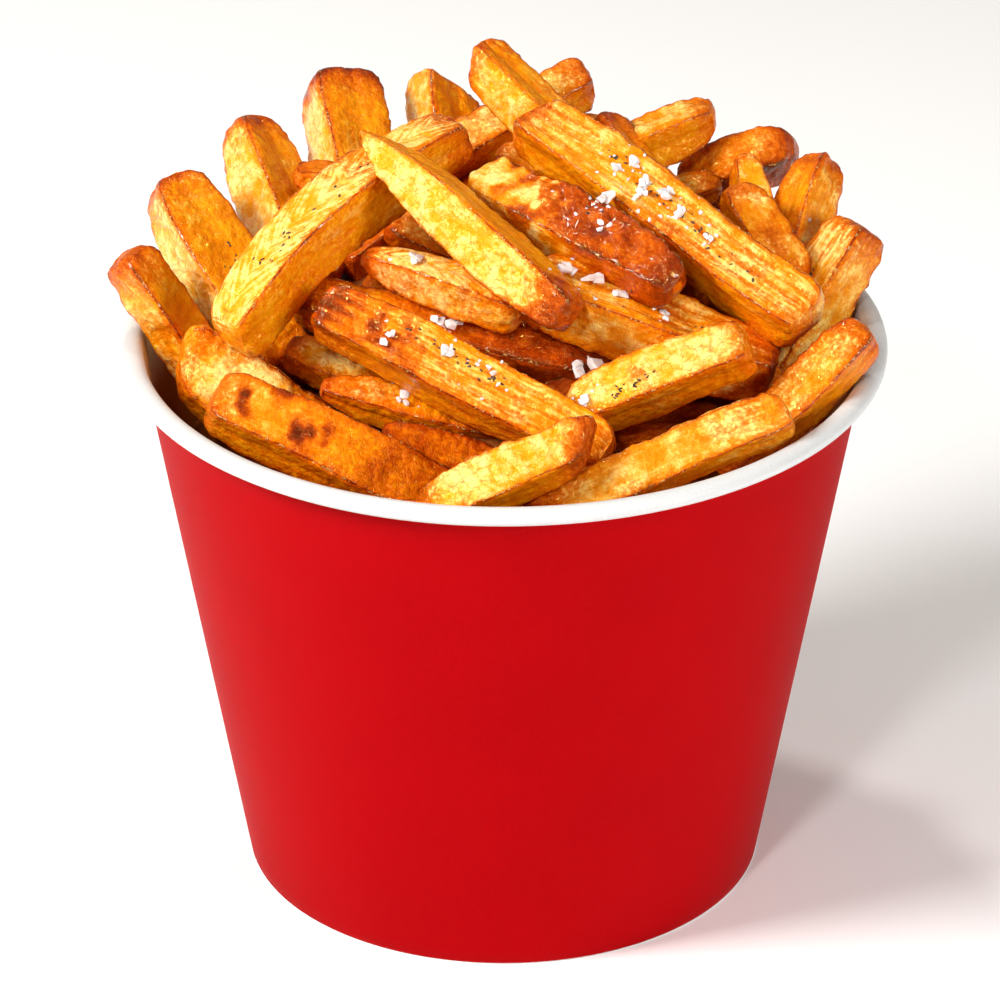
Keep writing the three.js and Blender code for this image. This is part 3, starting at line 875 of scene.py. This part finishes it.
filler = {
    "tries": 4000,
    "most": 46,
    "length": (34, 58),
    "size": (9, 12),
    "flat": 0.94,          # thickness for width
    "reach": 70,           # of their middles, from the axis
    "roll": 40,
    "kinds": "pfggssb",
    "brown": (0.2, 0.7),
    "lift": 0.12,          # of the size, for the ends above the bed
    "sunk": 0.75,          # of the size, at most
    "apart": 0.8,          # of the two sticks' half sizes, between their middle lines
    "clear": 3.5,          # from the cup's wall
    "draws": 47,
}


def fillerRows(shown):
    # more sticks lie half sunk in the bed wherever there is room between the others
    draw = np.random.default_rng(filler["draws"])
    share = np.linspace(0, 1, 9)
    lines = [(one.at(share, 0 * share, 0 * share), max(one.size) / 2) for one in shown]
    rows = []
    for _ in range(filler["tries"]):
        if len(rows) == filler["most"]:
            break
        turn, out = draw.uniform(0, 2 * math.pi), filler["reach"] * math.sqrt(draw.uniform(0, 1))
        length, size = draw.uniform(*filler["length"]), draw.uniform(*filler["size"])
        heading, roll = draw.uniform(0, math.pi), draw.uniform(-filler["roll"], filler["roll"])
        kinds = "".join(draw.choice(list(filler["kinds"]), 4))
        brown = draw.uniform(*filler["brown"], 2)
        middle = np.array([out * math.cos(turn), out * math.sin(turn)])
        half = np.array([math.cos(heading), math.sin(heading)]) * length / 2
        ends = []
        for spot in (middle - half, middle + half):
            ends.append((*spot, float(bedHeight(*spot)) + size * filler["lift"]))
        line = np.array(ends[0]) + (np.array(ends[1]) - ends[0]) * share[:, None]
        wall = outside(np.minimum(line[:, 2], neckHeight)) - size / 2 - filler["clear"]
        if (np.hypot(line[:, 0], line[:, 1]) > wall).any():
            continue
        if (line[:, 2] < bedHeight(line[:, 0], line[:, 1]) - size * filler["sunk"]).any():
            continue
        gaps = [np.linalg.norm(line[:, None] - other, axis=2).min()
                - filler["apart"] * (size / 2 + thick) for other, thick in lines]
        if min(gaps) < 0:
            continue
        lines.append((line, size / 2))
        rows.append((*ends, (size, size * filler["flat"]), roll, kinds,
                     {"tips": (0.85, 0.85), "brown": tuple(brown)}))
    return rows


# Salt: the stick under each flake, how far along it, how far across its upper face, and its size.
saltFlakes = [
    ("topSlab", 0.34, -0.39, 4), ("topSlab", 0.32, 0.08, 3), ("topSlab", 0.41, -0.02, 3.5),
    ("topSlab", 0.48, -0.15, 5.5), ("topSlab", 0.43, 0.3, 3), ("topSlab", 0.54, -0.08, 4.5),
    ("topSlab", 0.66, 0, 3), ("glazed", 0.55, -0.95, 6), ("glazed", 0.62, -0.25, 3),
    ("rightInner", 0.1, -0.27, 5.5), ("rightInner", 0.23, -0.18, 5), ("rightInner", 0.34, 0.16, 4),
    ("rightInner", 0.53, 0.31, 3), ("frontLong", 0.25, 0.27, 3), ("frontLong", 0.43, -0.22, 4),
    ("frontLong", 0.57, -0.25, 3), ("darkUnder", 0.46, 0.09, 6), ("darkUnder", 0.5, -0.16, 5),
    ("darkUnder", 0.92, 0.3, 6), ("frontThin", 0.44, 0.09, 4), ("frontRight", 0.1, 0.5, 4),
    ("rightBack", 0.29, 0.09, 3), ("leftInner", 0.3, 0.1, 4),
]
salt = {
    "chips": 3,            # crystals grown together in one flake
    "faces": 7,            # cuts that give a crystal its facets
    "facesAt": (0.3, 0.5),  # of its size, from its middle
    "turn": 6.28,
    "tilt": 0.4,
    "long": (0.6, 1),
    "spread": 0.24,
    "lift": (0.08, 0.2),
    "flat": 0.5,
    "chipSize": (0.4, 0.66),
    "crumbs": 110,
    "crumbSize": (0.4, 1.1),
    "crumbStray": (4, 0.45),  # from their flake: millimetres along, share across
    "draws": 12,
}
# Seeds: the stick, its face, where the row starts and ends along and across it, and how many.
seedRows = [
    ("topSlab", "top", (0.26, -0.2), (0.82, 0.15), 34),
    ("frontLong", "top", (0.28, -0.34), (0.62, -0.18), 26),
    ("frontRight", "top", (0.26, 0.5), (0.52, 0.3), 18),
    ("leftArc", "top", (0.18, 0.12), (0.32, 0.3), 13),
    ("leftArc", "top", (0.36, 0.1), (0.85, 0.05), 9),
    ("glazed", "top", (0.46, -0.66), (0.64, -0.6), 9),
    ("underSlab", "top", (0.3, 0.3), (0.42, 0.35), 3),
    ("rightInner", "top", (0.38, 0.1), (0.72, 0.25), 11),
    ("leftWide", "top", (0.44, 0.0), (0.6, 0.2), 7),
    ("rightLean", "left", (0.6, -0.12), (0.75, 0.1), 7),
    ("uprightBlock", "top", (0.3, 0.0), (0.4, 0.1), 3),
    ("backE", "top", (0.3, 0), (0.7, 0), 12),
    ("backD", "top", (0.5, 0), (0.8, 0), 8),
]
seeds = {
    "length": (0.7, 1.3),
    "wide": 0.52,          # for a length of 1, as high is
    "high": 0.4,
    "spread": (0.02, 0.14),  # about their row, along and across
    "turn": 1,
    "draws": 31,
}


def settle(name, along, across, face="top"):
    # the place and the outward direction of a stick's finished surface
    one, tree = sticks[name], trees[owner[name]]
    out = Vector(one.face if face == "top" else -one.side)
    spot = one.at(along, across, 1) if face == "top" else one.at(along, -1, across)
    reach = 4  # above the plain stick, so that the ray starts over every crag
    place, normal, _, _ = tree.ray_cast((Vector(spot) + out * reach) * mm, -out)
    return (place / mm if place else Vector(spot)), normal or out


def addSeeds(material):
    draw = np.random.default_rng(seeds["draws"])
    bm = bmesh.new()
    for name, face, first, last, count in seedRows:
        one = sticks[name]
        for share in np.sort(draw.uniform(0, 1, count)):
            along = first[0] + (last[0] - first[0]) * share + draw.normal() * seeds["spread"][0]
            across = first[1] + (last[1] - first[1]) * share + draw.normal() * seeds["spread"][1]
            place, out = settle(name, along, across, face)
            length = draw.uniform(*seeds["length"])
            side = out.cross(Vector(one.along)).normalized()
            turn = Matrix.Rotation(draw.uniform(-seeds["turn"], seeds["turn"]), 3, out)
            basis = (turn @ Matrix([side, out.cross(side), out]).transposed()).to_4x4()
            size = Matrix.Diagonal((length * seeds["wide"], length, length * seeds["high"], 1))
            bmesh.ops.create_icosphere(bm, subdivisions=1, radius=0.5,
                                       matrix=Matrix.Translation(place) @ basis @ size)
    piece = addFood("seedSpecks", finished(bm, "seedSpecks"), material)
    print("seeds:", len(piece.data.polygons), "faces")


def addCrystal(bm, draw, place, size):
    # a cube with its corners cut away by planes
    made = bmesh.ops.create_cube(bm, size=1)["verts"]
    turn = Matrix.Rotation(draw.uniform(0, salt["turn"]), 4, "Z")
    turn = turn @ Matrix.Rotation(draw.uniform(-salt["tilt"], salt["tilt"]), 4, "X")
    scale = Matrix.Diagonal((size, size * draw.uniform(*salt["long"]), size * salt["flat"], 1))
    shape = place @ turn @ scale
    faces = {f for v in made for f in v.link_faces}
    for _ in range(salt["faces"]):
        way = Vector(draw.normal(size=3)).normalized()
        parts = [*faces, *{e for f in faces for e in f.edges}, *{v for f in faces for v in f.verts}]
        spot = way * draw.uniform(*salt["facesAt"])
        cut = bmesh.ops.bisect_plane(bm, geom=parts, dist=1e-5, plane_co=spot, plane_no=way,
                                     clear_outer=True)
        edges = [e for e in cut["geom_cut"] if isinstance(e, bmesh.types.BMEdge)]
        left = {f for f in cut["geom"] if isinstance(f, bmesh.types.BMFace) and f.is_valid}
        if len(edges) > 2:
            left.update(bmesh.ops.edgeloop_fill(bm, edges=edges)["faces"])
        faces = left
    verts = list({v for f in faces for v in f.verts})
    bmesh.ops.transform(bm, matrix=shape, verts=verts)


def addSalt(material):
    draw = np.random.default_rng(salt["draws"])
    bm = bmesh.new()
    for name, along, across, size in saltFlakes:
        at, out = settle(name, along, across)
        side = Vector(sticks[name].along).cross(out).normalized()
        basis = Matrix([side, out.cross(side), out]).transposed().to_4x4()
        for _ in range(salt["chips"]):
            shift = Vector((*draw.normal(size=2) * salt["spread"] * size,
                            size * draw.uniform(*salt["lift"])))
            addCrystal(bm, draw, Matrix.Translation(at) @ basis @ Matrix.Translation(shift),
                       size * draw.uniform(*salt["chipSize"]))
    for _ in range(salt["crumbs"]):
        name, along, across, _ = saltFlakes[draw.integers(len(saltFlakes))]
        stray = salt["crumbStray"]
        along += draw.normal() * stray[0] / sticks[name].length
        across = float(np.clip(across + draw.normal() * stray[1], -0.85, 0.85))
        at, out = settle(name, float(np.clip(along, 0.04, 0.96)), across)
        basis = out.to_track_quat("Z", "Y").to_matrix().to_4x4()
        addCrystal(bm, draw, Matrix.Translation(at) @ basis, draw.uniform(*salt["crumbSize"]))
    bmesh.ops.recalc_face_normals(bm, faces=bm.faces[:])
    piece = addFood("saltFlakes", finished(bm, "saltFlakes"), material)
    piece.data.shade_flat()
    print("salt:", len(piece.data.polygons), "faces")


addCamera()
addLights()
addFloor()
addCup()
addBed(shadedCrumb())
fried = friedCrust()
fine, coarse, plain = blockOf(15, 104), blockOf(9, 54), blockOf(7, 36)
drawStep = 20  # from one stick's draws to the next one's
# each group's sticks, how finely they are cut, and its first draw
groups = {
    "topSticks": (topSticks, fine, 1000),
    "frontSticks": (frontSticks, fine, 2000),
    "rimSticks": (rimSticks, fine, 3000),
    "shortSticks": (shortSticks, coarse, 4000),
    "lowSticks": (lowSticks, coarse, 5000),
}
sticks = {}
for rows, _, first in groups.values():
    for i, (name, row) in enumerate(rows.items()):
        sticks[name] = Stick(row, first + drawStep * i)
firstFiller = 6000
extra = fillerRows(list(sticks.values()))
fillers = [Stick(row, firstFiller + drawStep * i) for i, row in enumerate(extra)]
crowd = [*sticks.values(), *fillers]
owner, trees = {}, {}
for name, (rows, block, _) in groups.items():
    trees[name] = addSticks(name, [sticks[key] for key in rows], block, fried, crowd)
    owner.update(dict.fromkeys(rows, name))
addSticks("fillerSticks", fillers, plain, fried, crowd)
addSeeds(seedHusk())
addSalt(saltGlass())
